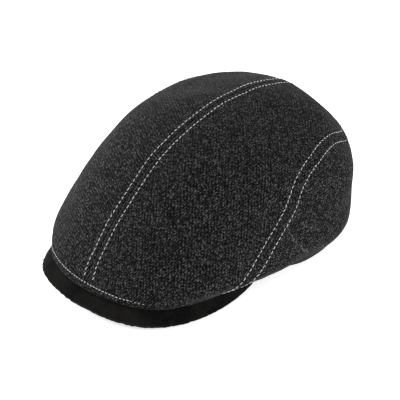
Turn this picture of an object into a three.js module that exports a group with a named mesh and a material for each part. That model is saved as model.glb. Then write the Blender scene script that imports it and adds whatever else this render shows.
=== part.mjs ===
// A duckbill cap of thick wool cloth with an ear flap that is stored folded up inside its back.
// The crown is sewn from four panels: two on top that meet along the centre seam, and one on each
// side, from the end of the peak round to the back. The stiff peak lies under the front hem.
// Millimetres. +Z is up, the peak points to -Y, the wearer's left is +X, and Z = 0 is the table.
import * as THREE from 'three';

// Crown. Lengths run from the ear line (Y = 0), heights from the table.
const CROWN_FRONT = 129; // reach of the front hem
const CROWN_BACK = 130; // reach of the back of the crown
const CROWN_HALF_WIDTH = 103;
const CROWN_HEIGHT = 114;
const APEX_BACK = 50; // how far behind the ear line the highest point lies
const WIDEST_BACK = 36; // how far behind the ear line the crown is widest
const FRONT_SQUARENESS = 2.35; // exponents of the rounded plan, 2 is an ellipse
const BACK_SQUARENESS = 2.1;
const CLOTH = 2; // thickness of the wool cloth with its lining

// Rim, the lower edge of the crown.
const RIM_HALF_WIDTH = 90;
const RIM_BACK = 113.5; // reach of the rim behind the ear line
const HEM_LIFT = 17.5; // height of the hem over the middle of the peak
const RIM_LIFT = 3; // height of the rim behind the ears
const RIM_BLEND = 0.33; // share of the way up over which the crown takes the rim's outline

// Peak, a stiff curved board covered in suede.
const PEAK_REACH = 138.5; // from the ear line to its front edge
const PEAK_HALF_WIDTH = 81;
const PEAK_ARCH = 7; // height of the middle of its front edge over its corners on the table
const PEAK_THICK = 4;
const PEAK_STRAIGHT_FROM = 50; // its sides run straight from here
const PEAK_TIP = 25; // to here, both in front of the ear line
const PEAK_TIP_RISE = 3.5; // how far its ends rise off the table to meet the rim
const PEAK_SQUARENESS = 2.4;
const PEAK_END = 71; // angle of its ends, in degrees round the hem
const SEAT_SHARE = 0.3; // where the hem rests on it, a share of the way to the forehead line

// Opening for the head.
const HEAD_HALF_WIDTH = 78;
const HEAD_FRONT = 88; // reach of the forehead line, where the peak ends inside the crown
const HEAD_MIDDLE = 10; // how far behind the ear line the opening is widest
const FOREHEAD_LIFT = 26; // height of the middle of the forehead line
const TEMPLE_LIFT = 14; // height of its ends

// Ear flap, folded up inside the crown from ear to ear round the back.
const FLAP_THICK = 2.5;
const FLAP_DEPTH = 42; // height of the folded flap
const FLAP_END_DEPTH = 14; // height of its rounded ends at the ears
const FLAP_START = 86; // angle of its front end, in degrees round from the front
const FLAP_END_POWER = 8; // the higher, the tighter its ends are rounded

const GAP = 0.3; // between pieces that are sewn or laid together
const SEAM_GAP = 0.5; // between the panels along the side seam

// Rings of the crown from the rim (up = 0) to the apex (up = 1). The reaches are shares of the
// lengths from the apex to the front, to the side and to the back of the crown, and the heights at
// the same three places are shares of the crown's height.
const RINGS = [
  { up: -1 / 6, front: 0.99, side: 0.72, back: 0.84, zFront: 0.04, zSide: -0.12, zBack: -0.13 },
  { up: 0, front: 0.95, side: 0.84, back: 0.82, zFront: 0.15, zSide: 0.04, zBack: 0.03 },
  { up: 1 / 6, front: 0.94, side: 1.01, back: 0.86, zFront: 0.22, zSide: 0.21, zBack: 0.19 },
  { up: 2 / 6, front: 0.81, side: 0.99, back: 0.94, zFront: 0.49, zSide: 0.38, zBack: 0.40 },
  { up: 3 / 6, front: 0.62, side: 0.93, back: 1.00, zFront: 0.75, zSide: 0.56, zBack: 0.61 },
  { up: 4 / 6, front: 0.45, side: 0.75, back: 0.81, zFront: 0.90, zSide: 0.79, zBack: 0.80 },
  { up: 5 / 6, front: 0.19, side: 0.44, back: 0.60, zFront: 1.00, zSide: 0.91, zBack: 0.91 },
  { up: 1, front: 0, side: 0, back: 0, zFront: 1, zSide: 1, zBack: 1 },
  { up: 7 / 6, front: -0.19, side: -0.44, back: -0.60, zFront: 1.00, zSide: 0.91, zBack: 0.91 },
];

// The rim by angle round from the front: out is a share of the rim's half width, along a share of
// the front hem's reach (negative) or of the rim's reach behind, and lift goes from the rim's
// height behind the ears (0) to the front hem's (1). It narrows over the ear and widens behind it.
const RIM = [
  { at: -13, out: -0.25, along: -0.98, lift: 0.97 },
  { at: 0, out: 0, along: -1, lift: 1 },
  { at: 13, out: 0.25, along: -0.98, lift: 0.97 },
  { at: 26, out: 0.53, along: -0.90, lift: 0.84 },
  { at: 38, out: 0.71, along: -0.78, lift: 0.71 },
  { at: 50, out: 0.81, along: -0.62, lift: 0.63 },
  { at: 61, out: 0.86, along: -0.45, lift: 0.56 },
  { at: 68, out: 0.90, along: -0.33, lift: 0.51 },
  { at: 73, out: 0.92, along: -0.23, lift: 0.44 },
  { at: 78, out: 0.92, along: -0.12, lift: 0.20 },
  { at: 83, out: 0.90, along: 0, lift: 0 },
  { at: 87, out: 0.92, along: 0.12, lift: 0 },
  { at: 90, out: 0.97, along: 0.20, lift: 0 },
  { at: 95, out: 1, along: 0.32, lift: 0 },
  { at: 100, out: 1, along: 0.42, lift: 0 },
  { at: 110, out: 0.96, along: 0.54, lift: 0 },
  { at: 125, out: 0.86, along: 0.71, lift: 0 },
  { at: 140, out: 0.69, along: 0.85, lift: 0 },
  { at: 160, out: 0.40, along: 0.96, lift: 0 },
  { at: 180, out: 0, along: 1, lift: 0 },
  { at: 200, out: -0.40, along: 0.96, lift: 0 },
];

// The side seam, from the end of the peak up over the ear and round to the back: angle round from
// the front, and share of the way up from the rim to the apex.
const SIDE_SEAM = [
  { step: -1, at: 60, up: -0.13 },
  { step: 0, at: 61, up: 0 },
  { step: 1, at: 62, up: 0.13 },
  { step: 2, at: 63.5, up: 0.23 },
  { step: 3, at: 65.5, up: 0.30 },
  { step: 4, at: 67, up: 0.36 },
  { step: 5, at: 69, up: 0.44 },
  { step: 6, at: 73, up: 0.52 },
  { step: 7, at: 79, up: 0.59 },
  { step: 8, at: 89, up: 0.64 },
  { step: 9, at: 103, up: 0.66 },
  { step: 10, at: 118, up: 0.64 },
  { step: 11, at: 137, up: 0.56 },
  { step: 12, at: 158, up: 0.51 },
  { step: 13, at: 180, up: 0.49 },
  { step: 14, at: 202, up: 0.51 },
];
const SEAM_CORNER = 61; // angle where the side seam starts at the rim
const SEAM_STEPS = 13;

const HEM_COLUMNS = 8; // grid of the panels: along the hem, along the side seam, and upwards
const SEAM_COLUMNS = 24;
const CORNER_STATION = 0.2; // share of the first column where the side panels' tip is cut blunt
const TOP_ROWS = 11;
const SIDE_ROWS = 8;
const PEAK_COLUMNS = 14; // from the middle of the peak to each end
const PEAK_ROWS = 5;
const EDGE_TURNS = [0, 35, 70]; // degrees round the peak's rounded edge, from its outermost line
const FLAP_COLUMNS = 16; // from the back to each end
const FLAP_LEVELS = [0, 0.1, 0.2, 0.3]; // ways up the crown that the flap keeps clear of

const radians = THREE.MathUtils.degToRad;
const mix = THREE.MathUtils.lerp;

// One column of a table at a place between its rows, on a smooth curve through the rows.
// The first and last rows only steer the curve's ends.
function between(table, key, place, column) {
  let row = 1;
  while (row < table.length - 3 && place > table[row + 1][key]) row += 1;
  const [before, from, to, after] = table.slice(row - 1, row + 3);
  const length = to[key] - from[key];
  const share = (place - from[key]) / length;
  const rise = (a, b) => (b[column] - a[column]) / (b[key] - a[key]);
  const slope = (a, b, c) => {
    const ab = b[key] - a[key];
    const bc = c[key] - b[key];
    return (rise(a, b) * bc + rise(b, c) * ab) / (ab + bc);
  };
  const s2 = share * share;
  const s3 = s2 * share;
  return (2 * s3 - 3 * s2 + 1) * from[column]
    + (s3 - 2 * s2 + share) * length * slope(before, from, to)
    + (3 * s2 - 2 * s3) * to[column]
    + (s3 - s2) * length * slope(from, to, after);
}

// Rounded power curve: a plan whose corners are fuller than an ellipse's.
function fuller(value, squareness) {
  return Math.sign(value) * Math.abs(value) ** (2 / squareness);
}

// A point of a ring of the crown, by the angle round from the front and the share of the way up.
function ringPoint(angle, up) {
  const ring = (column) => between(RINGS, 'up', up, column);
  const ahead = Math.cos(radians(angle));
  const middle = mix(WIDEST_BACK, APEX_BACK, up);
  const front = APEX_BACK - (CROWN_FRONT + APEX_BACK) * ring('front');
  const back = APEX_BACK + (CROWN_BACK - APEX_BACK) * ring('back');
  const squareness = ahead > 0 ? FRONT_SQUARENESS : BACK_SQUARENESS;
  const reach = Math.abs(fuller(ahead, squareness));
  const towards = ahead > 0 ? front : back;
  const heightThere = ahead > 0 ? ring('zFront') : ring('zBack');
  return new THREE.Vector3(
    CROWN_HALF_WIDTH * ring('side') * fuller(Math.sin(radians(angle)), squareness),
    mix(middle, towards, reach),
    CROWN_HEIGHT * mix(ring('zSide'), heightThere, ahead * ahead),
  );
}

// A point of the crown's lower edge.
function rimPoint(angle) {
  const rim = (column) => between(RIM, 'at', angle, column);
  const along = rim('along');
  return new THREE.Vector3(
    RIM_HALF_WIDTH * rim('out'),
    along * (along < 0 ? CROWN_FRONT : RIM_BACK),
    mix(RIM_LIFT, HEM_LIFT, rim('lift')),
  );
}

// A point of the crown's outer face: the rings, drawn in to the rim's outline near the rim.
function crownPoint(angle, up) {
  const point = ringPoint(angle, up);
  if (up >= RIM_BLEND) return point;
  const pull = (1 - up / RIM_BLEND) ** 2;
  const drawn = rimPoint(angle).sub(ringPoint(angle, 0));
  return point.addScaledVector(drawn, pull);
}

// The outward normal of the crown's outer face, which lies level at the apex.
function crownNormal(angle, up) {
  if (up >= 1) return new THREE.Vector3(0, 0, 1);
  const tiny = 0.001;
  const round = crownPoint(angle + 1, up).sub(crownPoint(angle - 1, up));
  const rising = crownPoint(angle, up + tiny).sub(crownPoint(angle, Math.max(up - tiny, 0)));
  return round.cross(rising).normalize();
}

// Two sheets of points in the same columns and rows, closed round their borders into one body.
// The first sheet is the outer face. Points that coincide are one vertex.
function closedSheets(outer, inner) {
  const positions = [];
  const index = [];
  const known = new Map();
  const vertex = (point) => {
    const name = point.toArray().map((value) => value.toFixed(4)).join();
    if (!known.has(name)) {
      known.set(name, positions.length / 3);
      positions.push(...point.toArray());
    }
    return known.get(name);
  };
  const quad = (a, b, c, d) => {
    for (const corners of [[a, b, c], [a, c, d]]) {
      const ids = corners.map(vertex);
      if (new Set(ids).size === 3) index.push(...ids);
    }
  };
  const lastColumn = outer.length - 1;
  const lastRow = outer[0].length - 1;
  for (let i = 0; i < lastColumn; i += 1) {
    for (let j = 0; j < lastRow; j += 1) {
      quad(outer[i][j], outer[i + 1][j], outer[i + 1][j + 1], outer[i][j + 1]);
      quad(inner[i][j], inner[i][j + 1], inner[i + 1][j + 1], inner[i + 1][j]);
    }
    quad(inner[i][0], inner[i + 1][0], outer[i + 1][0], outer[i][0]);
    quad(outer[i + 1][lastRow], inner[i + 1][lastRow], inner[i][lastRow], outer[i][lastRow]);
  }
  for (let j = 0; j < lastRow; j += 1) {
    quad(outer[0][j], outer[0][j + 1], inner[0][j + 1], inner[0][j]);
    const [face, lining] = [outer[lastColumn], inner[lastColumn]];
    quad(face[j], lining[j], lining[j + 1], face[j + 1]);
  }
  const geometry = new THREE.BufferGeometry();
  geometry.setAttribute('position', new THREE.Float32BufferAttribute(positions, 3));
  geometry.setIndex(index);
  geometry.computeVertexNormals();
  return geometry;
}

// The same columns on the other side of the cap, in the order that keeps their faces outward.
function mirrored(sheet) {
  return sheet.map((column) => column.map((p) => new THREE.Vector3(-p.x, p.y, p.z))).reverse();
}

// Moves a panel's sewn edge back from the seam line by half the gap, within the cloth's face.
// Edge and next are the points of the edge and of the row beside it.
function trimmed(edge, next) {
  return edge.map((point, i) => {
    const along = edge[Math.min(i + 1, edge.length - 1)].clone().sub(edge[Math.max(i - 1, 0)]);
    const inward = next[i].clone().sub(point);
    along.normalize();
    inward.addScaledVector(along, -inward.dot(along)).normalize();
    return point.clone().addScaledVector(inward, SEAM_GAP / 2);
  });
}

// The side seam as evenly spaced places, with one more just above the corner at the rim. Each is
// an angle and a share of the way up.
function seamPlaces() {
  class SeamLine extends THREE.Curve {
    getPoint(share) {
      const place = this.place(share);
      return crownPoint(place.angle, place.up);
    }

    place(share) {
      const step = share * SEAM_STEPS;
      return {
        angle: between(SIDE_SEAM, 'step', step, 'at'),
        up: between(SIDE_SEAM, 'step', step, 'up'),
      };
    }
  }
  const line = new SeamLine();
  const stations = [0, CORNER_STATION, ...Array.from({ length: SEAM_COLUMNS }, (_, i) => i + 1)];
  return stations.map((station) => line.place(line.getUtoTmapping(station / SEAM_COLUMNS)));
}

// Outer and inner sheet of a panel on the wearer's left. Each column is a list of places, and
// seamRow is the row that is sewn to the panel across the side seam, from column sewnFrom on.
function panelSheets(columns, seamRow, besideRow, sewnFrom) {
  const face = columns.map((column) => column.map(({ angle, up }) => crownPoint(angle, up)));
  const normals = columns.map((column) => column.map(({ angle, up }) => crownNormal(angle, up)));
  const sewn = face.slice(sewnFrom);
  const edge = trimmed(sewn.map((column) => column[seamRow]), sewn.map((c) => c[besideRow]));
  sewn.forEach((column, i) => { column[seamRow] = edge[i]; });
  const aside = new THREE.Vector3(GAP / 2, 0, 0);
  const outer = face.map((column) => column.map((point) => point.clone().add(aside)));
  const inner = outer.map((column, i) => column.map(
    (point, j) => point.clone().addScaledVector(normals[i][j], -CLOTH),
  ));
  return [outer, inner];
}

// Top panel: from the front hem and the side seam up to the centre seam over the apex.
function topPanel() {
  const hem = Array.from({ length: HEM_COLUMNS }, (_, i) => (
    { angle: SEAM_CORNER * i / HEM_COLUMNS, up: 0 }));
  const foot = [...hem, ...seamPlaces()];
  const columns = foot.map(({ angle, up }, i) => {
    const spread = 180 * i / (foot.length - 1);
    return Array.from({ length: TOP_ROWS + 1 }, (_, j) => {
      const share = j / TOP_ROWS;
      return { angle: mix(angle, spread, share), up: mix(up, 1, share) };
    });
  });
  return panelSheets(columns, 0, 1, HEM_COLUMNS);
}

// Side panel: from the rim up to the side seam, and from the end of the peak to the back.
function sidePanel() {
  const places = seamPlaces().slice(1);
  const columns = places.map(({ angle, up }, i) => {
    const below = mix(SEAM_CORNER, 180, Math.max(i, CORNER_STATION) / (places.length - 1));
    return Array.from({ length: SIDE_ROWS + 1 }, (_, j) => {
      const share = j / SIDE_ROWS;
      return { angle: mix(below, angle, share), up: up * share };
    });
  });
  return panelSheets(columns, SIDE_ROWS, SIDE_ROWS - 1, 0);
}

// Three lines that the peak's board follows, by hem angle: its outer edge, the seat just under
// the hem, and the forehead line. Each gives a point of the middle of the board.
function peakLines(hemAngle) {
  const half = PEAK_THICK / 2;
  const turn = Math.min(hemAngle / SEAM_CORNER, 1) * 90;
  const past = Math.max(hemAngle - SEAM_CORNER, 0) / (PEAK_END - SEAM_CORNER);
  const out = fuller(Math.sin(radians(turn)), PEAK_SQUARENESS);
  const ahead = fuller(Math.max(Math.cos(radians(turn)), 0), PEAK_SQUARENESS);
  const edge = new THREE.Vector3(
    (PEAK_HALF_WIDTH - half) * out,
    -mix(PEAK_STRAIGHT_FROM, PEAK_REACH - half, ahead) + past * (PEAK_STRAIGHT_FROM - PEAK_TIP),
    half + PEAK_ARCH * (1 - out * out) + PEAK_TIP_RISE * past * past,
  );
  const lining = crownPoint(hemAngle, 0).addScaledVector(crownNormal(hemAngle, 0), -CLOTH);
  const round = crownPoint(hemAngle + 1, 0).sub(crownPoint(hemAngle - 1, 0));
  const below = lining.clone().sub(edge).cross(round).normalize();
  const seat = lining.clone().addScaledVector(below, half + 2 * GAP);
  const swing = radians(hemAngle);
  const forehead = new THREE.Vector3(
    HEAD_HALF_WIDTH * Math.sin(swing),
    HEAD_MIDDLE - (HEAD_FRONT + HEAD_MIDDLE) * Math.cos(swing),
    mix(TEMPLE_LIFT, FOREHEAD_LIFT, Math.cos(swing) ** 2),
  );
  return { edge, seat, forehead };
}

// The middle of the peak's board: a bend through the edge, the seat and the forehead line.
function peakPoint(hemAngle, share) {
  const { edge, seat, forehead } = peakLines(Math.abs(hemAngle));
  const s = SEAT_SHARE;
  const bend = seat.clone()
    .addScaledVector(edge, -((1 - s) ** 2))
    .addScaledVector(forehead, -s * s)
    .divideScalar(2 * s * (1 - s));
  const point = edge.multiplyScalar((1 - share) ** 2)
    .addScaledVector(bend, 2 * share * (1 - share))
    .addScaledVector(forehead, share * share);
  point.x *= Math.sign(hemAngle) || 1;
  return point;
}

// The peak, with a round outer edge.
function peakGeometry() {
  const half = PEAK_THICK / 2;
  const tiny = 0.01;
  const top = [];
  const under = [];
  for (let i = -PEAK_COLUMNS; i <= PEAK_COLUMNS; i += 1) {
    const angle = PEAK_END * i / PEAK_COLUMNS;
    const before = Math.max(angle - 1, -PEAK_END);
    const after = Math.min(angle + 1, PEAK_END);
    const place = (share) => {
      const point = peakPoint(angle, share);
      const round = peakPoint(after, share).sub(peakPoint(before, share));
      const inward = peakPoint(angle, Math.min(share + tiny, 1))
        .sub(peakPoint(angle, Math.max(share - tiny, 0)));
      return { point, normal: round.cross(inward).normalize() };
    };
    const edge = place(0);
    const outward = peakPoint(angle, 0).sub(peakPoint(angle, tiny)).normalize();
    const upper = [];
    const lower = [];
    for (const turn of EDGE_TURNS) {
      const reach = half * Math.cos(radians(turn));
      const rise = half * Math.sin(radians(turn));
      const base = edge.point.clone().addScaledVector(outward, reach);
      upper.push(base.clone().addScaledVector(edge.normal, rise));
      lower.push(base.clone().addScaledVector(edge.normal, -rise));
    }
    for (let j = 1; j <= PEAK_ROWS; j += 1) {
      const { point, normal } = place(j / PEAK_ROWS);
      upper.push(point.clone().addScaledVector(normal, half));
      lower.push(point.clone().addScaledVector(normal, -half));
    }
    top.push(upper);
    under.push(lower);
  }
  return closedSheets(top, under);
}

// The folded flap: an upright band just inside the rim, on the table, with rounded ends.
function flapGeometry() {
  const outer = [];
  const inner = [];
  for (let i = -FLAP_COLUMNS; i <= FLAP_COLUMNS; i += 1) {
    const share = Math.abs(i) / FLAP_COLUMNS;
    const angle = mix(180, FLAP_START, share);
    const side = i > 0 ? -1 : 1;
    const rim = rimPoint(angle);
    const along = rimPoint(angle + 0.5).sub(rimPoint(angle - 0.5));
    const inward = new THREE.Vector3(-along.y, along.x, 0).normalize();
    const pinch = Math.max(...FLAP_LEVELS.map((up) => crownPoint(angle, up).sub(rim).dot(inward)));
    const inset = CLOTH + GAP + Math.max(pinch, 0);
    const top = mix(FLAP_DEPTH, FLAP_END_DEPTH, share ** FLAP_END_POWER);
    const post = (depth) => {
      const foot = rim.clone().addScaledVector(inward, depth);
      const x = foot.x * side;
      return [0, 0.5, 1].map((rise) => new THREE.Vector3(x, foot.y, rise * top));
    };
    outer.push(post(inset));
    inner.push(post(inset + FLAP_THICK));
  }
  return closedSheets(outer, inner);
}

const wool = new THREE.MeshStandardMaterial({ color: 0x303032, roughness: 0.95, metalness: 0 });
const suede = new THREE.MeshStandardMaterial({ color: 0x171717, roughness: 0.9, metalness: 0 });
const fleece = new THREE.MeshStandardMaterial({ color: 0x1b1b1d, roughness: 1, metalness: 0 });

const cap = new THREE.Group();

function piece(name, geometry, material) {
  const mesh = new THREE.Mesh(geometry, material);
  mesh.name = name;
  cap.add(mesh);
}

const top = topPanel();
const side = sidePanel();
piece('crown_top_left', closedSheets(...top), wool);
piece('crown_top_right', closedSheets(...top.map(mirrored)), wool);
piece('crown_side_left', closedSheets(...side), wool);
piece('crown_side_right', closedSheets(...side.map(mirrored)), wool);
piece('peak', peakGeometry(), suede);
piece('ear_flap', flapGeometry(), fleece);

// The origin is under the middle of the whole cap.
const bounds = new THREE.Box3().setFromObject(cap);
cap.position.y = -(bounds.min.y + bounds.max.y) / 2;

export default cap;
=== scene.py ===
# %% [markdown]
# # A duckbill cap with a folded ear flap
#
# The cap is sewn from four panels of thick salt-and-pepper wool: two on top, which meet along the
# centre seam, and one on each side. A short suede peak lies under the front hem, and an ear flap
# of fleece is folded up inside the back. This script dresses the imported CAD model: it builds each
# cloth piece again with seams, stitches and weave, in the same place and to the same sizes.
#
# Its box is kept straight away, to compare with the dressed cap at the end.

# %% The frame
import math

import bmesh
import bpy
import numpy as np
from mathutils import Matrix, Vector, kdtree, noise
from mathutils.bvhtree import BVHTree


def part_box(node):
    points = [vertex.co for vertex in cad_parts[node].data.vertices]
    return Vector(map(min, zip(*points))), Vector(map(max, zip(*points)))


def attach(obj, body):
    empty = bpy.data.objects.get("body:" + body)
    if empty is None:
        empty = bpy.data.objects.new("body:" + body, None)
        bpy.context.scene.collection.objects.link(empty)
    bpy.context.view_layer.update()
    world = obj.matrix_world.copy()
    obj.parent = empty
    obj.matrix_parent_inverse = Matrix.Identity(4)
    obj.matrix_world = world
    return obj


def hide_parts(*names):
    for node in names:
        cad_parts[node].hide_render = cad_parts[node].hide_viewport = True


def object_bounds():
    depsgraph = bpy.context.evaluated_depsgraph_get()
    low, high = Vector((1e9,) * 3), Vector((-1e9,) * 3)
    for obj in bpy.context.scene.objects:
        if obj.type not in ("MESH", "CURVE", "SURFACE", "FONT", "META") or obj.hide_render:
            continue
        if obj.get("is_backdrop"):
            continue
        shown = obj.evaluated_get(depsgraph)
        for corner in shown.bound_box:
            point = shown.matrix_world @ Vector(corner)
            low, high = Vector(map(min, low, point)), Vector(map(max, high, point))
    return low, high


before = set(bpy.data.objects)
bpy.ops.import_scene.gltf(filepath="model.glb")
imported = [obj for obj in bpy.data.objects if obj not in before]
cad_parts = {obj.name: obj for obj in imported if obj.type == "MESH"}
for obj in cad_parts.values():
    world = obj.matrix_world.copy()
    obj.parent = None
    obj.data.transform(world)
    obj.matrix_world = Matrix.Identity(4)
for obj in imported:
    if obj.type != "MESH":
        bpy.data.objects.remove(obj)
CAD_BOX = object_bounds()
print("CAD nodes:", sorted(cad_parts))

# %% [markdown]
# The CAD crown is a loft: a ring table gives its reach and height from the rim up to the apex, and
# near the rim it is drawn in to the outline of the opening. The cloth has to follow the same loft,
# so the same tables are repeated here. Another way would be to subdivide the CAD meshes, but then
# every coarse facet would show as a crease in the cloth.
#
# `Table` puts a smooth cubic curve through each column of a table. It takes whole arrays of places,
# because a panel has tens of thousands of points.

# %% Smooth tables
class Table:
    """Rows of chosen numbers, with a smooth curve through each column."""

    def __init__(self, names, rows):
        self.names = names.split()
        self.rows = np.array(rows, float)

    def slope(self, a, b, c):
        ab = b[..., :1] - a[..., :1]
        bc = c[..., :1] - b[..., :1]
        return ((b - a) / ab * bc + (c - b) / bc * ab) / (ab + bc)

    def at(self, place):
        """All columns at these places. The first and last rows only steer the curve's ends."""
        place = np.asarray(place, float)
        first = np.searchsorted(self.rows[:, 0], place) - 1
        first = np.clip(first, 1, len(self.rows) - 3)
        before, start, end, after = (self.rows[first + k] for k in (-1, 0, 1, 2))
        length = end[..., :1] - start[..., :1]
        s = (place[..., None] - start[..., :1]) / length
        values = (
            (2 * s**3 - 3 * s**2 + 1) * start
            + (s**3 - 2 * s**2 + s) * length * self.slope(before, start, end)
            + (3 * s**2 - 2 * s**3) * end
            + (s**3 - s**2) * length * self.slope(start, end, after)
        )
        return dict(zip(self.names, np.moveaxis(values, -1, 0)))


def mix(a, b, share):
    return a + (b - a) * share


def fuller(value, squareness):
    """A power curve that makes a plan's corners fuller than an ellipse's."""
    return np.sign(value) * np.abs(value) ** (2 / squareness)


# %% [markdown]
# Sizes are in millimetres, with the ear line at Y = 0, as a cap maker would measure them. Each
# finished mesh is moved to the row frame and turned to metres in one step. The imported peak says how
# far the ear line lies from the row frame's middle, because its front edge is where Y is lowest.

# %% Sizes of the crown
MM = 0.001
CROWN_FRONT, CROWN_BACK, CROWN_HALF_WIDTH, CROWN_HEIGHT = 129, 130, 103, 114
APEX_BACK, WIDEST_BACK = 50, 36
FRONT_SQUARENESS, BACK_SQUARENESS = 2.35, 2.1
CLOTH = 2
RIM_HALF_WIDTH, RIM_BACK, HEM_LIFT, RIM_LIFT = 90, 113.5, 17.5, 3
RIM_BLEND = 0.33
PEAK_REACH = 138.5
EAR_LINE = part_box("peak")[0].y / MM + PEAK_REACH

RINGS = Table("up front side back z_front z_side z_back", [
    (-1 / 6, 0.99, 0.72, 0.84, 0.04, -0.12, -0.13),
    (0, 0.95, 0.84, 0.82, 0.15, 0.04, 0.03),
    (1 / 6, 0.94, 1.01, 0.86, 0.22, 0.21, 0.19),
    (2 / 6, 0.81, 0.99, 0.94, 0.49, 0.38, 0.40),
    (3 / 6, 0.62, 0.93, 1.00, 0.75, 0.56, 0.61),
    (4 / 6, 0.45, 0.75, 0.81, 0.90, 0.79, 0.80),
    (5 / 6, 0.19, 0.44, 0.60, 1.00, 0.91, 0.91),
    (1, 0, 0, 0, 1, 1, 1),
    (7 / 6, -0.19, -0.44, -0.60, 1.00, 0.91, 0.91),
])
RIM = Table("at out along lift", [
    (-13, -0.25, -0.98, 0.97),
    (0, 0, -1, 1),
    (13, 0.25, -0.98, 0.97),
    (26, 0.53, -0.90, 0.84),
    (38, 0.71, -0.78, 0.71),
    (50, 0.81, -0.62, 0.63),
    (61, 0.86, -0.45, 0.56),
    (68, 0.90, -0.33, 0.51),
    (73, 0.92, -0.23, 0.44),
    (78, 0.92, -0.12, 0.20),
    (83, 0.90, 0, 0),
    (87, 0.92, 0.12, 0),
    (90, 0.97, 0.20, 0),
    (95, 1, 0.32, 0),
    (100, 1, 0.42, 0),
    (110, 0.96, 0.54, 0),
    (125, 0.86, 0.71, 0),
    (140, 0.69, 0.85, 0),
    (160, 0.40, 0.96, 0),
    (180, 0, 1, 0),
    (200, -0.40, 0.96, 0),
])
SIDE_SEAM = Table("step at up", [
    (-1, 60, -0.13),
    (0, 61, 0),
    (1, 62, 0.13),
    (2, 63.5, 0.23),
    (3, 65.5, 0.30),
    (4, 67, 0.36),
    (5, 69, 0.44),
    (6, 73, 0.52),
    (7, 79, 0.59),
    (8, 89, 0.64),
    (9, 103, 0.66),
    (10, 118, 0.64),
    (11, 137, 0.56),
    (12, 158, 0.51),
    (13, 180, 0.49),
    (14, 202, 0.51),
])
SEAM_CORNER, SEAM_STEPS, SEAM_BACK_UP = 61, 13, 0.49
print(f"the ear line lies at Y = {EAR_LINE:.2f} mm")


# %% The crown's surface
def ring_point(angle, up):
    """A point of the crown before it is drawn in, by degrees from the front and share upwards."""
    ring = RINGS.at(up)
    swing = np.radians(angle)
    ahead = np.cos(swing)
    squareness = np.where(ahead > 0, FRONT_SQUARENESS, BACK_SQUARENESS)
    front = APEX_BACK - (CROWN_FRONT + APEX_BACK) * ring["front"]
    back = APEX_BACK + (CROWN_BACK - APEX_BACK) * ring["back"]
    towards = np.where(ahead > 0, front, back)
    z_there = np.where(ahead > 0, ring["z_front"], ring["z_back"])
    middle = mix(WIDEST_BACK, APEX_BACK, up)
    return np.stack([
        CROWN_HALF_WIDTH * ring["side"] * fuller(np.sin(swing), squareness),
        mix(middle, towards, np.abs(fuller(ahead, squareness))),
        CROWN_HEIGHT * mix(ring["z_side"], z_there, ahead**2),
    ], -1)


def rim_point(angle):
    rim = RIM.at(angle)
    reach = np.where(rim["along"] < 0, CROWN_FRONT, RIM_BACK)
    lift = mix(RIM_LIFT, HEM_LIFT, rim["lift"])
    return np.stack([RIM_HALF_WIDTH * rim["out"], rim["along"] * reach, lift], -1)


def crown_point(angle, up):
    """A point of the crown's outer face."""
    angle, up = np.broadcast_arrays(np.asarray(angle, float), np.asarray(up, float))
    pull = np.clip(1 - up / RIM_BLEND, 0, 1) ** 2
    drawn = rim_point(angle) - ring_point(angle, np.zeros_like(up))
    return ring_point(angle, up) + pull[..., None] * drawn


def unit(vectors):
    return vectors / np.linalg.norm(vectors, axis=-1, keepdims=True)


NEARBY_ANGLE, NEARBY_UP = 1.0, 0.001


def crown_normal(angle, up):
    """The outward normal of the crown's outer face, below the apex."""
    around = crown_point(angle + NEARBY_ANGLE, up) - crown_point(angle - NEARBY_ANGLE, up)
    rising = crown_point(angle, up + NEARBY_UP) - crown_point(angle, up)
    return unit(np.cross(around, rising))


print("front hem:", crown_point(0, 0).round(1), " apex:", crown_point(0, 1).round(1))


# %% [markdown]
# Every panel is sewn along lines: the centre seam over the top, the side seam from the end of the
# peak round to the back, the back seam below it, and the hem. Stitches, grooves and the swelling of
# the seam allowance all depend on two numbers: how far a point is from such a line, and how far
# along the line it lies. `Line` gives both. It keeps closely spaced points in a k-d tree, which
# finds the nearest one quickly, and measures from there square to the line.

# %% Sewing lines
class Line:
    """A line on the crown through places given as degrees from the front and shares upwards."""

    def __init__(self, angle, up):
        angle, up = np.broadcast_arrays(np.asarray(angle, float), np.asarray(up, float))
        self.points = crown_point(angle, up)
        steps = np.linalg.norm(np.diff(self.points, axis=0), axis=1)
        self.reached = np.concatenate([[0], np.cumsum(steps)])
        self.length = float(self.reached[-1])
        self.angle, self.up = angle, up
        self.tangents = np.gradient(self.points, self.reached, axis=0)
        self.tree = kdtree.KDTree(len(self.points))
        for number, point in enumerate(self.points):
            self.tree.insert(point, number)
        self.tree.balance()

    def place(self, share):
        """Degrees from the front and share upwards, at shares of the line's length."""
        reach = np.asarray(share) * self.length
        return np.interp(reach, self.reached, self.angle), np.interp(reach, self.reached, self.up)

    def near(self, points):
        """How far each point is from the line, and how far along it lies."""
        number = np.array([self.tree.find(point)[1] for point in points])
        away = points - self.points[number]
        ahead = (away * self.tangents[number]).sum(1)
        across = away - ahead[:, None] * self.tangents[number]
        return np.linalg.norm(across, axis=1), self.reached[number] + ahead


LINE_STEPS = 1500
shares = np.linspace(0, 1, LINE_STEPS)
centre_down = np.concatenate([shares, 1 - (1 - SEAM_BACK_UP) * shares[1:]])
centre_seam = Line(np.repeat([0, 180], [LINE_STEPS, LINE_STEPS - 1]), centre_down)
side_places = SIDE_SEAM.at(shares * SEAM_STEPS)
side_seam = Line(side_places["at"], side_places["up"])
front_hem = Line(SEAM_CORNER * shares, 0)
rim = Line(mix(SEAM_CORNER, 180, shares), 0)
back_seam = Line(180, SEAM_BACK_UP * shares)
sewn_lines = {
    "centre seam": centre_seam,
    "side seam": side_seam,
    "half front hem": front_hem,
    "half rim": rim,
    "back seam": back_seam,
}
for name, line in sewn_lines.items():
    print(f"{name}: {line.length:.0f} mm")


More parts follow.
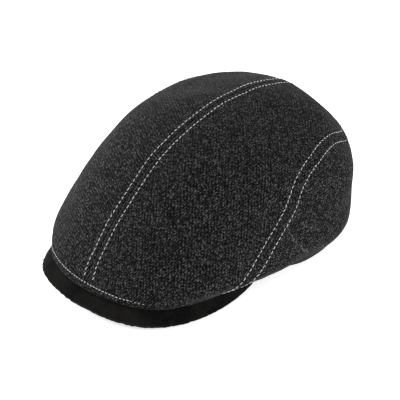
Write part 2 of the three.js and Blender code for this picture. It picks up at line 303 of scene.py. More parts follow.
# %% [markdown]
# A panel starts as a flat grid from `create_grid`. Its two directions become shares along the
# panel and across it, and each vertex then moves to its place on the crown. Between the borders
# the places are mixed on a flat map of the crown, with the apex in the middle and the rim as the
# unit circle, because degrees and heights by themselves would bunch up at the apex.
#
# Rows are crowded where the cloth is sewn, since a seam's groove is only a millimetre or two wide
# while the cloth between the seams is smooth.

# %% Flat map of the crown and crowded shares
SEAM_CROWDING, END_CROWDING = 0.75, 0.35


def to_map(place):
    angle, up = np.radians(place[0]), place[1]
    return np.stack([(1 - up) * np.sin(angle), -(1 - up) * np.cos(angle)], -1)


def from_map(spot):
    return np.degrees(np.arctan2(spot[..., 0], -spot[..., 1])), 1 - np.linalg.norm(spot, axis=-1)


def crowd_both(share):
    return share - SEAM_CROWDING * np.sin(2 * np.pi * share) / (2 * np.pi)


def crowd_start(share):
    return share - END_CROWDING * np.sin(np.pi * share) / np.pi


def crowd_end(share):
    return 1 - crowd_start(1 - share)


def top_place(along, across):
    """Place on a top panel: along the centre seam from the hem, and across to the side seam."""
    centre, side = to_map(centre_seam.place(along)), to_map(side_seam.place(along))
    middle, corner = to_map((0.0, 0.0)), to_map((float(SEAM_CORNER), 0.0))
    a, b = along[..., None], across[..., None]
    hem_bulge = to_map(front_hem.place(across)) - mix(middle, corner, b)
    return from_map(mix(centre, side, b) + (1 - a) ** 2 * hem_bulge)


def side_place(along, across):
    """Place on a side panel: along the rim from the peak's end, and up to the side seam."""
    low, high = to_map(rim.place(along)), to_map(side_seam.place(along))
    return from_map(mix(low, high, across[..., None]))


# %% Panels on the loft
SIDES = {"left": 1, "right": -1}
TOP_GRID, SIDE_GRID = (360, 56), (320, 80)
SAME_POINT = 0.01
HEAD_CENTRE = Vector((0, 20, 40))


def panel(name, place, grid, crowd, side):
    """A panel's outer face, on the wearer's left (side 1) or right (side -1)."""
    mesh = bmesh.new()
    bmesh.ops.create_grid(mesh, x_segments=grid[0], y_segments=grid[1], size=0.5)
    flat = np.array([vert.co for vert in mesh.verts])
    points = crown_point(*place(crowd(flat[:, 0] + 0.5), crowd_both(flat[:, 1] + 0.5)))
    points[:, 0] *= side
    for vert, point in zip(mesh.verts, points):
        vert.co = point
    bmesh.ops.remove_doubles(mesh, verts=mesh.verts, dist=SAME_POINT)
    mesh.faces.ensure_lookup_table()
    some_face = mesh.faces[len(mesh.faces) // 2]
    if some_face.normal.dot(some_face.calc_center_median() - HEAD_CENTRE) < 0:
        bmesh.ops.reverse_faces(mesh, faces=mesh.faces)
    return to_object(mesh, name)


def to_object(mesh, name):
    data = bpy.data.meshes.new(name)
    mesh.to_mesh(data)
    mesh.free()
    made = bpy.data.objects.new(name, data)
    bpy.context.scene.collection.objects.link(made)
    return made


panels = {}
for hand, side in SIDES.items():
    top, beside = "top_" + hand, "side_" + hand
    panels[top] = panel("crown_cloth_" + top, top_place, TOP_GRID, crowd_start, side)
    panels[beside] = panel("crown_cloth_" + beside, side_place, SIDE_GRID, crowd_end, side)
for name, made in panels.items():
    print(name, len(made.data.polygons), "faces")


# %% [markdown]
# The weave has to follow the cloth, so each panel gets a flat pattern of itself: Blender's unwrap
# lays the curved panel flat, as the cloth was before it was sewn. The conformal method keeps the
# threads square to each other, and changes their spacing only a little on such a shallow curve.
# The map is then scaled to millimetres and turned: the warp of a side panel runs along its rim, and
# that of a top panel lies a few degrees off the line from the hem to the back.

# %% Flat patterns in millimetres
def values_of(collection, name, width, kind=float):
    """One property of a mesh's vertices, loops or UVs, as an array."""
    values = np.zeros(len(collection) * width, kind)
    collection.foreach_get(name, values)
    return values.reshape(-1, width) if width > 1 else values


def unwrap(made):
    made.data.uv_layers.new(name="weave")
    bpy.context.view_layer.objects.active = made
    made.select_set(True)
    bpy.ops.object.mode_set(mode="EDIT")
    bpy.ops.mesh.select_all(action="SELECT")
    bpy.ops.uv.unwrap(method="CONFORMAL", margin=0)
    bpy.ops.object.mode_set(mode="OBJECT")
    made.select_set(False)


def flat_pattern(made, start, end, turn):
    """Unwraps a piece, with U along the line from start to end, turned by this many degrees."""
    unwrap(made)
    data = made.data
    layer = data.uv_layers["weave"]
    pattern = values_of(layer.data, "uv", 2)
    owners = values_of(data.loops, "vertex_index", 1, int)
    corners = values_of(data.vertices, "co", 3)[owners]
    first = values_of(data.polygons, "loop_start", 1, int)
    real = np.linalg.norm(corners[first + 1] - corners[first], axis=1).sum()
    drawn = np.linalg.norm(pattern[first + 1] - pattern[first], axis=1).sum()
    pattern *= real / drawn
    ends = [pattern[np.linalg.norm(corners - point, axis=1).argmin()] for point in (start, end)]
    chord = ends[1] - ends[0]
    angle = math.radians(turn) - math.atan2(chord[1], chord[0])
    pattern = (pattern - ends[0]) @ np.array([
        [math.cos(angle), math.sin(angle)],
        [-math.sin(angle), math.cos(angle)],
    ])
    layer.data.foreach_set("uv", pattern.ravel())


GRAIN_TURN = 8.5
TEMPLE_ANGLE, NAPE_ANGLE, GRAIN_UP = 100, 170, 0.2
hem_middle, back_point = crown_point([0, 180], [0, SEAM_BACK_UP])
for hand, side in SIDES.items():
    flat_pattern(panels["top_" + hand], hem_middle, back_point, GRAIN_TURN * side)
    temple, nape = crown_point([TEMPLE_ANGLE, NAPE_ANGLE], GRAIN_UP) * (side, 1, 1)
    flat_pattern(panels["side_" + hand], temple, nape, 0)
print("patterns laid flat")


# %% [markdown]
# Seams give the cloth its relief. The panels are sewn face to face and pressed open, so there is a
# narrow valley on the seam itself, and the cloth stands a little higher over the allowance beneath.
# Two lines of topstitching hold the allowance down, four millimetres each side of the seam, and
# each lies in a shallow groove. The front hem is turned under and tucked in unevenly, so its edge
# is round and waves a little, and the rim round the back is rounded less. Between the seams the
# cloth waves gently.
#
# The relief could be a displacement modifier with painted weights. Moving the vertices by a few
# short functions of distance is simpler to read, and keeps to the millimetre sizes of real seams.

# %% Shapes of the relief
# Heights, depths, widths and lengths in millimetres.
STITCH_PITCH = 4.0
TWIN_OFFSET, HEM_OFFSET = 4.3, 4.3
VALLEY_DEPTH, VALLEY_WIDTH = 0.5, 0.55
GROOVE_DEPTH, GROOVE_WIDTH, HOLE_SHARE = 0.5, 0.9, 0.3
ALLOWANCE = {"height": 0.35, "width": 7.2, "slope": 2.2}
HEM_FOLD = {"height": 0.45, "width": 7.0, "slope": 1.5}
RIM_FOLD = {"height": 0.3, "width": 10, "slope": 4}
HEM_ROLL, HEM_ROLL_WIDTH, HEM_TUCK_WIDTH = 1.6, 1.0, 1.9
RIM_ROLL, RIM_ROLL_WIDTH = 0.9, 1.8
TUCK_LENGTH, TUCK_SHIFT, TUCK_SHIFT_LENGTH = 9, 2.5, 3.7


def hump(distance, centre, width):
    return np.exp(-(((distance - centre) / width) ** 2))


def stitched(distance, along, offset):
    """The groove under a line of stitches, which dips at every needle hole of a seam."""
    holes = 1 - HOLE_SHARE + HOLE_SHARE * np.cos(2 * np.pi * along / STITCH_PITCH)
    return -GROOVE_DEPTH * hump(distance, offset, GROOVE_WIDTH) * holes


def doubled(distance, height, width, slope):
    """Cloth stands higher over a second layer that is this wide."""
    return height * np.clip((width - distance) / slope, 0, 1)


def rolled(distance, depth, width):
    """An edge rounds away over this width."""
    return -depth * np.clip(1 - distance / width, 0, 1) ** 2


def seam_relief(distance, along):
    valley = -VALLEY_DEPTH * hump(distance, 0, VALLEY_WIDTH)
    return valley + doubled(distance, **ALLOWANCE) + stitched(distance, along, TWIN_OFFSET)


def hem_relief(distance, along):
    shift = TUCK_SHIFT * np.sin(along / TUCK_SHIFT_LENGTH)
    tuck = 0.5 + 0.5 * np.sin(2 * np.pi * along / TUCK_LENGTH + shift)
    edge = rolled(distance, HEM_ROLL, HEM_ROLL_WIDTH + HEM_TUCK_WIDTH * tuck)
    return edge + doubled(distance, **HEM_FOLD) + stitched(distance, along, HEM_OFFSET)


def rim_relief(distance, along):
    return rolled(distance, RIM_ROLL, RIM_ROLL_WIDTH) + doubled(distance, **RIM_FOLD)


# %% [markdown]
# A small fold stands out on the wearer's left, between the side seam and the rim. It is one more
# line with its own relief. Its crest gets a painted highlight, a lighter line that stands in for the
# light it catches, and along the rim the cloth gets painted shade. Both are kept as a number at each
# vertex, which the wool's material reads later. It is measured before the cloth is moved, while the
# vertices still lie on the smooth loft.

# %% The fold, the painted light on the cloth and the sewing
# The fold's ends are given as degrees from the front and shares upwards.
CREASE_FROM, CREASE_TO = (71.5, 0.41), (86, 0.15)
RIDGE_HEIGHT, RIDGE_WIDTH = 1.1, 1.2
HOLLOW_DEPTH, HOLLOW_AWAY, HOLLOW_WIDTH = 0.5, 3, 1.8
# Painted light: a painted highlight along the fold's crest and painted shade along the rim.
PAINTED_CREST_HIGHLIGHT, CREST_WIDTH, CREST_LENGTH = 1.5, 1.3, 18
PAINTED_RIM_SHADE, PAINTED_RIM_SHADE_WIDTH = 0.45, 20
WAVE_HEIGHT, WAVE_LENGTH, CALM_WIDTH = 0.7, 34, 25

crease = Line(mix(CREASE_FROM[0], CREASE_TO[0], shares), mix(CREASE_FROM[1], CREASE_TO[1], shares))


def crease_relief(distance, along):
    """A small standing fold with a hollow beside it, highest halfway along."""
    height = np.sin(np.pi * np.clip(along / crease.length, 0, 1))
    ridge = RIDGE_HEIGHT * hump(distance, 0, RIDGE_WIDTH)
    return height * (ridge - HOLLOW_DEPTH * hump(distance, HOLLOW_AWAY, HOLLOW_WIDTH))


def waves(point, seed):
    return noise.fractal(Vector(point) / WAVE_LENGTH + Vector((seed, 0, 0)), 0.7, 2.0, 2)


def paint_light_marks(made, side, creased):
    """Paints light on a side panel: painted shade along the rim, below 0, and a painted highlight on
    the fold's crest, above 0.
    """
    points = values_of(made.data.vertices, "co", 3) * (side, 1, 1)
    painted_light = -PAINTED_RIM_SHADE * np.clip(1 - rim.near(points)[0] / PAINTED_RIM_SHADE_WIDTH, 0, 1)
    if creased:
        distance, along = crease.near(points)
        middle = hump(along, crease.length / 2, CREST_LENGTH)
        painted_light += PAINTED_CREST_HIGHLIGHT * hump(distance, 0, CREST_WIDTH) * middle
    marks = made.data.attributes.new("painted_light", "FLOAT", "POINT")
    marks.data.foreach_set("value", painted_light)


def sew(made, side, borders, seed):
    """Moves a panel's vertices along their normals by the relief of its borders and its waves."""
    vertices = made.data.vertices
    points = values_of(vertices, "co", 3)
    normals = values_of(vertices, "normal", 3)
    rise = np.zeros(len(points))
    nearest = np.full(len(points), np.inf)
    for line, relief in borders:
        distance, along = line.near(points * (side, 1, 1))
        rise += relief(distance, along)
        nearest = np.minimum(nearest, distance)
    calm = np.clip(nearest / CALM_WIDTH, 0, 1)
    rise += WAVE_HEIGHT * calm * np.array([waves(point, seed) for point in points])
    vertices.foreach_set("co", (points + rise[:, None] * normals).ravel())
    made.data.update()
    print(f"{made.name}: relief from {rise.min():.2f} to {rise.max():.2f} mm")


top_borders = [(centre_seam, seam_relief), (side_seam, seam_relief), (front_hem, hem_relief)]
side_borders = [(side_seam, seam_relief), (back_seam, seam_relief), (rim, rim_relief)]
folds = {"left": [(crease, crease_relief)], "right": []}
for seed, (hand, side) in enumerate(SIDES.items()):
    paint_light_marks(panels["side_" + hand], side, bool(folds[hand]))
    sew(panels["top_" + hand], side, top_borders, 3 * seed)
    sew(panels["side_" + hand], side, side_borders + folds[hand], 3 * seed + 10)


# %% [markdown]
# Stitches are small solid shapes, not painted dashes, because they catch the light. Each is one
# low sphere with few faces, drawn out along the seam and half sunk in its groove. They are placed
# on the finished cloth: a point four millimetres from the seam is moved to the nearest point of
# the panels, which also gives the direction that the cloth faces there.
#
# Hand-guided rows are never straight, so seeded noise moves, turns and sinks each stitch a little.
# The centre rows bend to the wearer's left just above the hem, and the left half of the hem's row
# comes nearer to the edge and sinks into the cloth on its way back.

# %% Courses of the rows
# In millimetres, but the wobble is in radians and the spread of the lengths is a share.
STITCH_GAP, THREAD = 1.0, 0.58
HEM_PITCH, HEM_ROW_END = 3.1, 74
BEND, BEND_FROM, BEND_LENGTH = 3, 8, 12
HEM_DRIFT, HEM_SINK = 2.4, 1.0
WANDER, WANDER_LENGTH, WANDER_LAYER = 0.9, 26, 3
WOBBLE, LENGTH_SPREAD = 0.3, 0.25
STAND, STAND_SPREAD = 0.16, 0.25
JITTER_STEP, JITTER_LAYER = 7.3, 11
noise.seed_set(4)
crown_points, crown_faces = [], []
for made in panels.values():
    first = len(crown_points)
    crown_points += [vertex.co.copy() for vertex in made.data.vertices]
    crown_faces += [[first + number for number in face.vertices] for face in made.data.polygons]
cloth_tree = BVHTree.FromPolygons(crown_points, crown_faces)


def straight(along):
    return 0.0


def front_bend(along):
    return -BEND * np.clip(1 - (along - BEND_FROM) / BEND_LENGTH, 0, 1) ** 1.5


def hem_drift(along):
    return -HEM_DRIFT * (along / HEM_ROW_END) ** 2


print("cloth to stitch:", len(crown_faces), "faces")


# %% Rows of stitches
def stitch_row(mesh, line, side, offset, span, course=straight, sink=0.0, pitch=STITCH_PITCH):
    """Stitches at this distance from a line, between the two lengths of its span."""
    first, last = span
    count = 0
    for number in range(math.ceil(first / pitch), int(last / pitch)):
        along = (number + 0.5) * pitch
        index = int(np.searchsorted(line.reached, along))
        middle = Vector(line.points[index] * (side, 1, 1))
        ahead = Vector(line.tangents[index] * (side, 1, 1)).normalized()
        normal = crown_normal(float(line.angle[index]), float(line.up[index]))
        across = Vector(normal * (side, 1, 1)).cross(ahead).normalized()
        uneven = noise.noise_vector(Vector((along / WANDER_LENGTH, offset, WANDER_LAYER)))
        apart = offset + WANDER * uneven.x + float(course(along))
        spot, facing, _, _ = cloth_tree.find_nearest(middle + apart * across)
        ahead = (ahead - ahead.dot(facing) * facing).normalized()
        lying = Matrix((ahead, facing.cross(ahead), facing)).transposed().to_4x4()
        jitter = noise.noise_vector(Vector((JITTER_STEP * number, offset, JITTER_LAYER)))
        turned = Matrix.Rotation(WOBBLE * jitter.x, 4, facing)
        long = (pitch - STITCH_GAP) * (1 + LENGTH_SPREAD * jitter.y)
        size = Matrix.Diagonal((long / 2, THREAD / 2, THREAD / 2, 1))
        depth = STAND + STAND_SPREAD * jitter.z - sink * (along / last) ** 3
        put = Matrix.Translation(spot + depth * facing) @ turned @ lying @ size
        bmesh.ops.create_uvsphere(
            mesh, u_segments=6, v_segments=6, radius=1,
            matrix=put @ Matrix.Rotation(math.pi / 2, 4, "Y"), calc_uvs=True,
        )
        count += 1
    return count


def stitches(name, rows):
    mesh = bmesh.new()
    mesh.loops.layers.uv.new("twist")
    count = sum(stitch_row(mesh, *row) for row in rows)
    print(f"{name}: {count} stitches, {len(mesh.faces)} faces")
    return to_object(mesh, name)


def twin_rows(line, side, span, course=straight):
    return [(line, side, offset, span, course) for offset in (-TWIN_OFFSET, TWIN_OFFSET)]


threads = [
    stitches("stitches_centre", twin_rows(centre_seam, 1, (7, centre_seam.length - 2), front_bend)),
    stitches("stitches_back", twin_rows(back_seam, 1, (2, back_seam.length - 2))),
]
for hand, side in SIDES.items():
    both = twin_rows(side_seam, side, (1, side_seam.length + 1))
    threads.append(stitches("stitches_side_" + hand, both))
right_half = (front_hem, -1, -HEM_OFFSET, (0, front_hem.length - 3), straight, 0.0, HEM_PITCH)
left_half = (front_hem, 1, HEM_OFFSET, (0, HEM_ROW_END), hem_drift, HEM_SINK, HEM_PITCH)
threads.append(stitches("stitches_hem", [right_half, left_half]))


# %% [markdown]
# The peak is a stiff curved board covered in suede. Its middle surface is a grid again: across, it
# bends from the outer edge over the seat under the hem to the forehead line. The real one sits a
# little askew, leaning to the wearer's left by a few millimetres. Its edge is fuzzy, which noise on
# the outermost row of vertices gives, and the suede is never quite flat.
#
# Solidify gives the board its thickness, Bevel rounds the edges as the suede wraps them, and
# Subdivision Surface makes the whole smooth.

# %% Peak board
PEAK_HALF_WIDTH, PEAK_ARCH, PEAK_THICK = 81, 7, 4
PEAK_STRAIGHT_FROM, PEAK_TIP, PEAK_TIP_RISE, PEAK_SQUARENESS, PEAK_END = 50, 25, 3.5, 2.4, 71
PEAK_LIFT = 0.5
PEAK_SWAY, RIGHT_SWAY, LEFT_SWAY = 2.0, 1.3, -0.5
FUZZ_OUT, FUZZ_LENGTH, FUZZ_WORN, NEARBY_SHARE = 1.1, 2.2, 0.2, 0.01
SUEDE_SWELL, SUEDE_SWELL_LENGTH = 0.3, 16
SEAT_SHARE, GAP = 0.3, 0.3
HEAD_HALF_WIDTH, HEAD_FRONT, HEAD_MIDDLE = 78, 88, 10
FOREHEAD_LIFT, TEMPLE_LIFT = 26, 14
HALF_BOARD = PEAK_THICK / 2


def peak_lines(angle, side):
    """The outer edge, the seat under the hem and the forehead line, by degrees round the hem."""
    turn = np.radians(np.minimum(angle / SEAM_CORNER, 1) * 90)
    past = np.maximum(angle - SEAM_CORNER, 0) / (PEAK_END - SEAM_CORNER)
    out = fuller(np.sin(turn), PEAK_SQUARENESS)
    ahead = fuller(np.maximum(np.cos(turn), 0), PEAK_SQUARENESS)
    behind = past * (PEAK_STRAIGHT_FROM - PEAK_TIP)
    sway = PEAK_SWAY + np.where(side < 0, RIGHT_SWAY, LEFT_SWAY) * out**2
    edge = np.stack([
        (PEAK_HALF_WIDTH - HALF_BOARD) * out + side * sway * (1 - past),
        behind - mix(PEAK_STRAIGHT_FROM, PEAK_REACH - HALF_BOARD, ahead),
        HALF_BOARD + PEAK_LIFT + PEAK_ARCH * (1 - out**2) + PEAK_TIP_RISE * past**2,
    ], -1)
    lining = crown_point(angle, 0) - CLOTH * crown_normal(angle, 0)
    around = crown_point(angle + NEARBY_ANGLE, 0) - crown_point(angle - NEARBY_ANGLE, 0)
    below = unit(np.cross(lining - edge, around))
    seat = lining + below * (HALF_BOARD + 2 * GAP)
    swing = np.radians(angle)
    forehead = np.stack([
        HEAD_HALF_WIDTH * np.sin(swing),
        HEAD_MIDDLE - (HEAD_FRONT + HEAD_MIDDLE) * np.cos(swing),
        mix(TEMPLE_LIFT, FOREHEAD_LIFT, np.cos(swing) ** 2),
    ], -1)
    return edge, seat, forehead


def peak_point(angle, share):
    """The middle of the board, from its outer edge (share 0) to the forehead line (share 1)."""
    side = np.where(angle < 0, -1, 1)
    edge, seat, forehead = peak_lines(np.abs(angle), side)
    s, t = SEAT_SHARE, share[..., None]
    bend = (seat - (1 - s) ** 2 * edge - s**2 * forehead) / (2 * s * (1 - s))
    point = (1 - t) ** 2 * edge + 2 * t * (1 - t) * bend + t**2 * forehead
    point[..., 0] *= side
    return point


# %% The peak's mesh
mesh = bmesh.new()
bmesh.ops.create_grid(mesh, x_segments=250, y_segments=18, size=0.5)
flat = np.array([vert.co for vert in mesh.verts])
angle, share = 2 * PEAK_END * flat[:, 0], flat[:, 1] + 0.5
points = peak_point(angle, share)
outward = unit(peak_point(angle, 0 * share) - peak_point(angle, 0 * share + NEARBY_SHARE))
fuzz = np.array([noise.noise(Vector(point) / FUZZ_LENGTH) for point in points]) - FUZZ_WORN
edge_out = HALF_BOARD * outward + FUZZ_OUT * fuzz[:, None] * outward * (1, 1, 0)
outermost = np.where(share < NEARBY_SHARE, 1, 0)
points += outermost[:, None] * edge_out
for vert, point in zip(mesh.verts, points):
    swell = SUEDE_SWELL * abs(noise.noise(Vector(point) / SUEDE_SWELL_LENGTH))
    vert.co = point + swell * Vector((0, 0, 1))
peak = to_object(mesh, "peak_suede")
print("peak:", len(peak.data.polygons), "faces before its modifiers")


# %% [markdown]
# The ear flap is a band of fleece that lies folded against the inside of the rim, from ear to ear
# round the back. Its foot stands on the same line as the rim, set in by the cloth and by as much as
# the crown draws in above, so that it touches nothing. Its upper edge waves a little.

# %% Ear flap
FLAP_THICK, FLAP_DEPTH, FLAP_END_DEPTH, FLAP_START, FLAP_END_POWER = 2.5, 42, 14, 86, 8
FLAP_LEVELS = (0, 0.1, 0.2, 0.3)
FLAP_SWELL, FLAP_SWELL_LENGTH, FLAP_SWELL_IN = 0.5, 18, 0.2


def flap_foot(angle):
    """The outer foot of the folded flap, and the level direction into the cap."""
    along = rim_point(angle + NEARBY_ANGLE / 2) - rim_point(angle - NEARBY_ANGLE / 2)
    inward = unit(np.stack([-along[..., 1], along[..., 0], 0 * angle], -1))
    pinch = [((crown_point(angle, up) - rim_point(angle)) * inward).sum(-1) for up in FLAP_LEVELS]
    inset = CLOTH + GAP + np.maximum(np.max(pinch, axis=0), 0)
    foot = rim_point(angle) + inset[..., None] * inward
    return foot, inward


mesh = bmesh.new()
bmesh.ops.create_grid(mesh, x_segments=110, y_segments=12, size=0.5)
flat = np.array([vert.co for vert in mesh.verts])
ends, rise = 2 * np.abs(flat[:, 0]), flat[:, 1] + 0.5
foot, inward = flap_foot(mix(180, FLAP_START, ends))
height = mix(FLAP_DEPTH, FLAP_END_DEPTH, ends**FLAP_END_POWER)
sides = np.where(flat[:, 0] > 0, -1, 1)
for vert, base, away, top, share, side in zip(mesh.verts, foot, inward, height, rise, sides):
    where = Vector(base) / FLAP_SWELL_LENGTH + Vector((0, 0, 2 * share))
    swell = max(FLAP_SWELL * noise.noise(where) * share, -FLAP_SWELL_IN)
    spot = Vector(base) + Vector(away) * (FLAP_THICK / 2 + swell)
    vert.co = (spot.x * side, spot.y, mix(0, top, share))
flap = to_object(mesh, "flap_fleece")
print("flap:", len(flap.data.polygons), "faces before its modifiers")


# %% [markdown]
# Now every piece is brought to the row frame: moved so that the ear line lies where the packed
# model has it, and turned from millimetres to metres. It is done to the meshes and not to the
# objects, so that each object stays at the origin, unturned and unscaled, as the export needs.
#
# The walls get their thickness afterwards, as modifiers. A crown panel is two millimetres of cloth
# inwards from its outer face, and its second material is the lining on the inner face.

# %% Row frame, walls and rounded edges
def to_row_frame(made):
    made.data.transform(Matrix.Scale(MM, 4) @ Matrix.Translation((0, EAR_LINE, 0)))
    for face in made.data.polygons:
        face.use_smooth = True


def wall(made, thickness, offset):
    solid = made.modifiers.new("Wall", "SOLIDIFY")
    solid.thickness, solid.offset, solid.use_even_offset = thickness * MM, offset, True
    return solid


def rounded(made, width):
    bevel = made.modifiers.new("Rounded edge", "BEVEL")
    bevel.affect, bevel.segments, bevel.profile, bevel.material = "EDGES", 3, 0.5, -1
    bevel.width, bevel.limit_method, bevel.angle_limit = width * MM, "ANGLE", math.radians(50)


def smoother(made):
    smooth = made.modifiers.new("Smooth", "SUBSURF")
    smooth.levels = smooth.render_levels = 1


for made in [*panels.values(), *threads, peak, flap]:
    to_row_frame(made)
for made in panels.values():
    wall(made, CLOTH, -1).material_offset = 1
PEAK_ROUND, FLAP_ROUND = 1.7, 0.6
for made, thickness, width in [(peak, PEAK_THICK, PEAK_ROUND), (flap, FLAP_THICK, FLAP_ROUND)]:
    wall(made, thickness, 0)
    rounded(made, width)
    smoother(made)
print("walls given to", sorted(panels), "peak and flap")


# %% [markdown]
# Materials are written as expressions. `Wire` wraps a socket of a material's node tree, so that
# `1 - mask` or `a * b` adds its Math node, and its `node` method makes any other node: settings
# first, then the values or links of its sockets. The same could be built by hand in the Shader
# Editor, but a line of arithmetic is easier to read than twenty linked boxes.

# %% Shader expressions
class Wire:
    """An output socket that Python's arithmetic acts on."""

    def __init__(self, tree, socket=None):
        self.tree, self.socket = tree, socket

    def node(self, kind, sockets, output=0, **settings):
        made = self.tree.nodes.new("ShaderNode" + kind)
        for name, value in settings.items():
            setattr(made, name, value)
        for key, value in sockets.items():
            if isinstance(value, Wire):
                self.tree.links.new(value.socket, made.inputs[key])
            else:
                made.inputs[key].default_value = value
        return Wire(self.tree, made.outputs[output])

    def math(self, operation, *values):
        return self.node("Math", dict(enumerate(values)), operation=operation)

    def __add__(self, other):
        return self.math("ADD", self, other)

    def __sub__(self, other):
        return self.math("SUBTRACT", self, other)

    def __rsub__(self, other):
        return self.math("SUBTRACT", other, self)

    def __mul__(self, other):
        return self.math("MULTIPLY", self, other)

    def __truediv__(self, other):
        return self.math("DIVIDE", self, other)

    def __pow__(self, other):
        return self.math("POWER", self, other)

    __radd__, __rmul__ = __add__, __mul__

    def step(self, low, high):
        """0 below low, 1 above high, and a smooth rise between."""
        sockets = {"Value": self, "From Min": low, "From Max": high}
        return self.node("MapRange", sockets, interpolation_type="SMOOTHSTEP")

    def blend(self, dark, light):
        """A colour from dark to light by this value."""
        return self.node("Mix", {0: self, 6: dark, 7: light}, output=2, data_type="RGBA")

    def noise(self, scale, detail=2.0, roughness=0.5):
        sockets = {"Vector": self, "Scale": scale, "Detail": detail, "Roughness": roughness}
        return self.node("TexNoise", sockets)

    def cells(self, scale, randomness):
        """Distance to the nearest cell's middle, and that cell's own random value."""
        sockets = {"Vector": self, "Scale": scale, "Randomness": randomness}
        near = self.node("TexVoronoi", sockets, voronoi_dimensions="2D")
        colour = Wire(self.tree, near.socket.node.outputs["Color"])
        return near, colour.part("X")

    def ribs(self):
        """Rounded ribs from 0 to 1, one each time that this value grows by a full turn."""
        return self.math("SINE", self) * 0.5 + 0.5

    def part(self, axis):
        return self.node("SeparateXYZ", {"Vector": self}, output=axis)


def finish(name, recipe, relief, constants):
    """A Principled material. The recipe gives its colour, roughness and the shape of its relief,
    which is this many millimetres deep. The constants are values of the shader's own sockets."""
    material = bpy.data.materials.new(name)
    material.use_nodes = True
    tree = material.node_tree
    shader = tree.nodes["Principled BSDF"]
    for key, value in constants.items():
        shader.inputs[key].default_value = value
    wires = Wire(tree)
    colour, roughness, height = recipe(wires)
    tree.links.new(colour.socket, shader.inputs["Base Color"])
    tree.links.new(roughness.socket, shader.inputs["Roughness"])
    bump = wires.node("Bump", {"Height": height, "Distance": relief * MM, "Strength": 1.0})
    tree.links.new(bump.socket, shader.inputs["Normal"])
    return material


def grey(value, warmth=0.0):
    return (value * (1 + warmth), value, value * (1 - warmth), 1)


# %% [markdown]
# The wool is a coarse plain weave of a dark yarn with a lighter one. A light float lies over and a
# dark one under, in turn, along every warp, and the next warp is half a step on, so the flecks
# stand like a chequerboard. One step along the warp is 2.95 mm, and two warps are 3.5 mm. How light
# a fleck is varies from float to float, as salt and pepper does.
#
# The flecks are Voronoi cells on a slanted grid, only a little out of line, because a plain chequer
# of squares looks printed. Smaller cells in no order are the grain of the yarn, fine noise blurs
# the whole as loose fibres do, and a very coarse one makes it cloudy. The fold's crest gets a painted
# highlight and the rim gets painted shade. A little sheen gives the fibres that stand off the cloth
# their glow where the surface turns away.

# %% Wool
WARP_PITCH, WARP_STEP = 1.75, 2.95
CELL_WANDER, FLECK_EDGE, FLECK_LEAST, FLECK_RARE = 0.4, (0.05, 0.5), 0.55, 5.0
GRAIN_SCALE, FIBRE_SCALE, CLOUD_SCALE = 1.25, 1.3, 0.05
DARK_YARN, LIGHT_YARN = grey(0.0033), grey(0.096)


def wool(wires):
    pattern = wires.node("UVMap", {}, uv_map="weave")
    warp = pattern.part("Y") / WARP_PITCH
    place = wires.node("CombineXYZ", {"X": pattern.part("X") / WARP_STEP - warp * 0.5, "Y": warp})
    near, tone = place.cells(1.0, CELL_WANDER)
    _, grain = pattern.cells(GRAIN_SCALE, 1.0)
    fleck = (1 - near.step(*FLECK_EDGE)) * (FLECK_LEAST + tone ** FLECK_RARE)
    fibres = pattern.noise(FIBRE_SCALE, 1.0)
    clouds = pattern.noise(CLOUD_SCALE, 2.0)
    # The attribute read here is painted light: it raises the shade on the fold's crest, a painted
    # highlight, and lowers it along the rim, painted shade.
    painted_light = wires.node("Attribute", {}, output="Fac", attribute_name="painted_light")
    shade = fleck * 0.5 + (grain ** 4.0) * 0.6 + (fibres - 0.5) * 0.3 + (clouds - 0.5) * 0.07
    colour = (shade * (painted_light + 1)).step(0.0, 1.15).blend(DARK_YARN, LIGHT_YARN)
    return colour, 0.88 + fibres * 0.1, fleck + grain * 0.4 + fibres * 0.3


wool_finish = finish("wool_tweed", wool, relief=0.3, constants={
    "IOR": 1.12,
    "Specular IOR Level": 0.2,
    "Sheen Weight": 0.05,
    "Sheen Roughness": 0.4,
    "Sheen Tint": (0.95, 0.95, 0.97, 1),
})
print("made", wool_finish.name)


# %% [markdown]
# The suede of the peak is matt and almost black, with patches where the nap lies the other way. The
# fleece is a little fluffier, the lining is a fine dark twill, and the topstitching is an off-white
# twisted thread, whose stripes run round each stitch on its own UV map. Suede and fleece have no
# threads to follow, so they read Object coordinates, in metres, and need no unwrap.

# %% Suede, fleece, lining and thread
TWILL_STEP = 0.9


def suede(wires):
    where = wires.node("TexCoord", {}, output="Object")
    patches, nap, grain = where.noise(45, 3.0), where.noise(420, 3.0), where.noise(2200, 2.0)
    shade = patches * 0.5 + nap * 0.3 + grain * 0.3
    colour = shade.step(0.35, 0.75).blend(grey(0.0008, 0.03), grey(0.0085, 0.06))
    return colour, 0.88 + grain * 0.1, nap * 0.6 + grain


def fleece(wires):
    where = wires.node("TexCoord", {}, output="Object")
    curls, fluff = where.noise(620, 3.0, 0.65), where.noise(120, 2.0)
    colour = (curls * 0.75 + fluff * 0.25).step(0.3, 0.75).blend(grey(0.006), grey(0.019, -0.02))
    return colour, 0.92 + fluff * 0.06, curls + fluff


def lining(wires):
    pattern = wires.node("UVMap", {}, uv_map="weave")
    ribs = ((pattern.part("X") + pattern.part("Y")) * (2 * math.pi / TWILL_STEP)).ribs()
    clouds = pattern.noise(0.2, 2.0)
    shade = ribs * 0.5 + clouds * 0.5
    return shade.blend(grey(0.006), grey(0.014)), 0.5 + clouds * 0.15, ribs


def thread(wires):
    ply = wires.node("UVMap", {}, uv_map="twist")
    ribs = ((ply.part("X") * 2 + ply.part("Y") * 4) * (2 * math.pi)).ribs()
    return ribs.blend(grey(0.44, 0.005), grey(0.68, 0.01)), 0.62 + ribs * 0.1, ribs


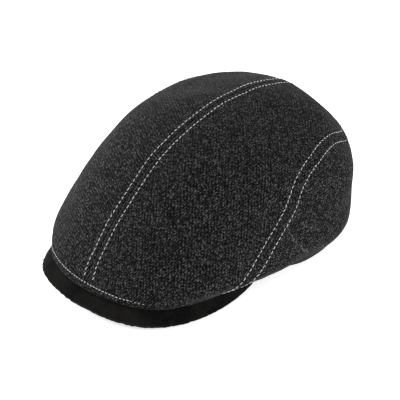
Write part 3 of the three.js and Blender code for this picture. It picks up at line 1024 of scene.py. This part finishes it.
suede_finish = finish("peak_suede", suede, relief=0.25, constants={
    "IOR": 1.12,
    "Sheen Weight": 0.03,
    "Sheen Roughness": 0.35,
    "Sheen Tint": (0.92, 0.90, 0.87, 1),
})
fleece_finish = finish("flap_fleece", fleece, relief=0.9, constants={
    "Sheen Weight": 0.08,
    "Sheen Roughness": 0.5,
    "Specular IOR Level": 0.1,
})
lining_finish = finish("lining_twill", lining, relief=0.06, constants={"Specular IOR Level": 0.4})
thread_finish = finish("seam_thread", thread, relief=0.1, constants={"Specular IOR Level": 0.4})
print("materials:", sorted(material.name for material in bpy.data.materials))


# %% [markdown]
# Each piece gets its finish and rides on the cap's one body, and the CAD node that it dresses is
# hidden.

# %% Dress the CAD nodes
for made in panels.values():
    made.data.materials.append(wool_finish)
    made.data.materials.append(lining_finish)
for name, made in panels.items():
    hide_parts("crown_" + name)
for made in threads:
    made.data.materials.append(thread_finish)
peak.data.materials.append(suede_finish)
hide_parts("peak")
flap.data.materials.append(fleece_finish)
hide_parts("ear_flap")
for made in [*panels.values(), *threads, peak, flap]:
    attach(made, "root")
print("dressed", sorted(panels), "peak and flap")


# %% [markdown]
# The cap is photographed from its left front and from well above, through a long lens, on a plain
# ground that is almost white. A wide white world gives the even light, and two large soft lights, a
# strong one on the left of the picture and a weak one on its right, give the surfaces their turn.
# The floor glows a little, as a lit studio table does, which keeps the cap's shadow faint.

# %% Floor and light
mesh = bmesh.new()
bmesh.ops.create_grid(mesh, x_segments=1, y_segments=1, size=3.0)
floor = to_object(mesh, "floor")
floor_paint = bpy.data.materials.new("floor_paint")
floor_paint.use_nodes = True
paint = floor_paint.node_tree.nodes["Principled BSDF"]
paint.inputs["Base Color"].default_value = (0.92, 0.92, 0.92, 1)
paint.inputs["Roughness"].default_value = 0.9
paint.inputs["Specular IOR Level"].default_value = 0.1
paint.inputs["Emission Color"].default_value = (1, 1, 1, 1)
paint.inputs["Emission Strength"].default_value = 0.6
floor.data.materials.append(floor_paint)
floor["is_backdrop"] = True

world = bpy.data.worlds.new("studio")
bpy.context.scene.world = world
world.use_nodes = True
sky = world.node_tree.nodes["Background"]
sky.inputs["Color"].default_value = (1, 1, 1, 1)
sky.inputs["Strength"].default_value = 0.9


def looking(position, target):
    """The turn of a light or a camera that stands at position and looks at target."""
    return (Vector(target) - Vector(position)).to_track_quat("-Z", "Y").to_euler()


def softbox(name, position, size, power):
    light = bpy.data.lights.new(name, "AREA")
    light.shape, light.size, light.energy = "DISK", size, power
    lamp = bpy.data.objects.new(name, light)
    bpy.context.scene.collection.objects.link(lamp)
    lamp.location = position
    lamp.rotation_euler = looking(position, AIM)


AIM = Vector((0.0049, 0.0008, 0.0375))
softbox("left", (-1.6, -0.6, 0.6), size=0.9, power=42)
softbox("right", (1.4, 0.5, 0.45), size=0.9, power=15)
print("lights:", sorted(light.name for light in bpy.data.lights))


# %% Camera
CAMERA_AZIMUTH, CAMERA_ELEVATION, CAMERA_DISTANCE = math.radians(43.66), math.radians(33.71), 1.1107
FOCAL_LENGTH, SENSOR_WIDTH = 125.0, 36.0
lens = bpy.data.cameras.new("photo_lens")
lens.lens, lens.sensor_width = FOCAL_LENGTH, SENSOR_WIDTH
camera = bpy.data.objects.new("photo_view", lens)
bpy.context.scene.collection.objects.link(camera)
camera.location = AIM + CAMERA_DISTANCE * Vector((
    math.sin(CAMERA_AZIMUTH) * math.cos(CAMERA_ELEVATION),
    -math.cos(CAMERA_AZIMUTH) * math.cos(CAMERA_ELEVATION),
    math.sin(CAMERA_ELEVATION),
))
camera.rotation_euler = looking(camera.location, AIM)
bpy.context.scene.camera = camera
bpy.context.scene.view_settings.view_transform = "Standard"
print("camera", [round(value, 3) for value in camera.location])


# %% [markdown]
# Cloth may stand a little proud of the solids, but the cap must keep its size. Both
# boxes are printed in millimetres.

# %% Compare the boxes and finish
boxes = {"cad": CAD_BOX, "visual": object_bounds()}
for name, (low, high) in boxes.items():
    print(name, "box in mm:", [round((b - a) / MM, 1) for a, b in zip(low, high)])
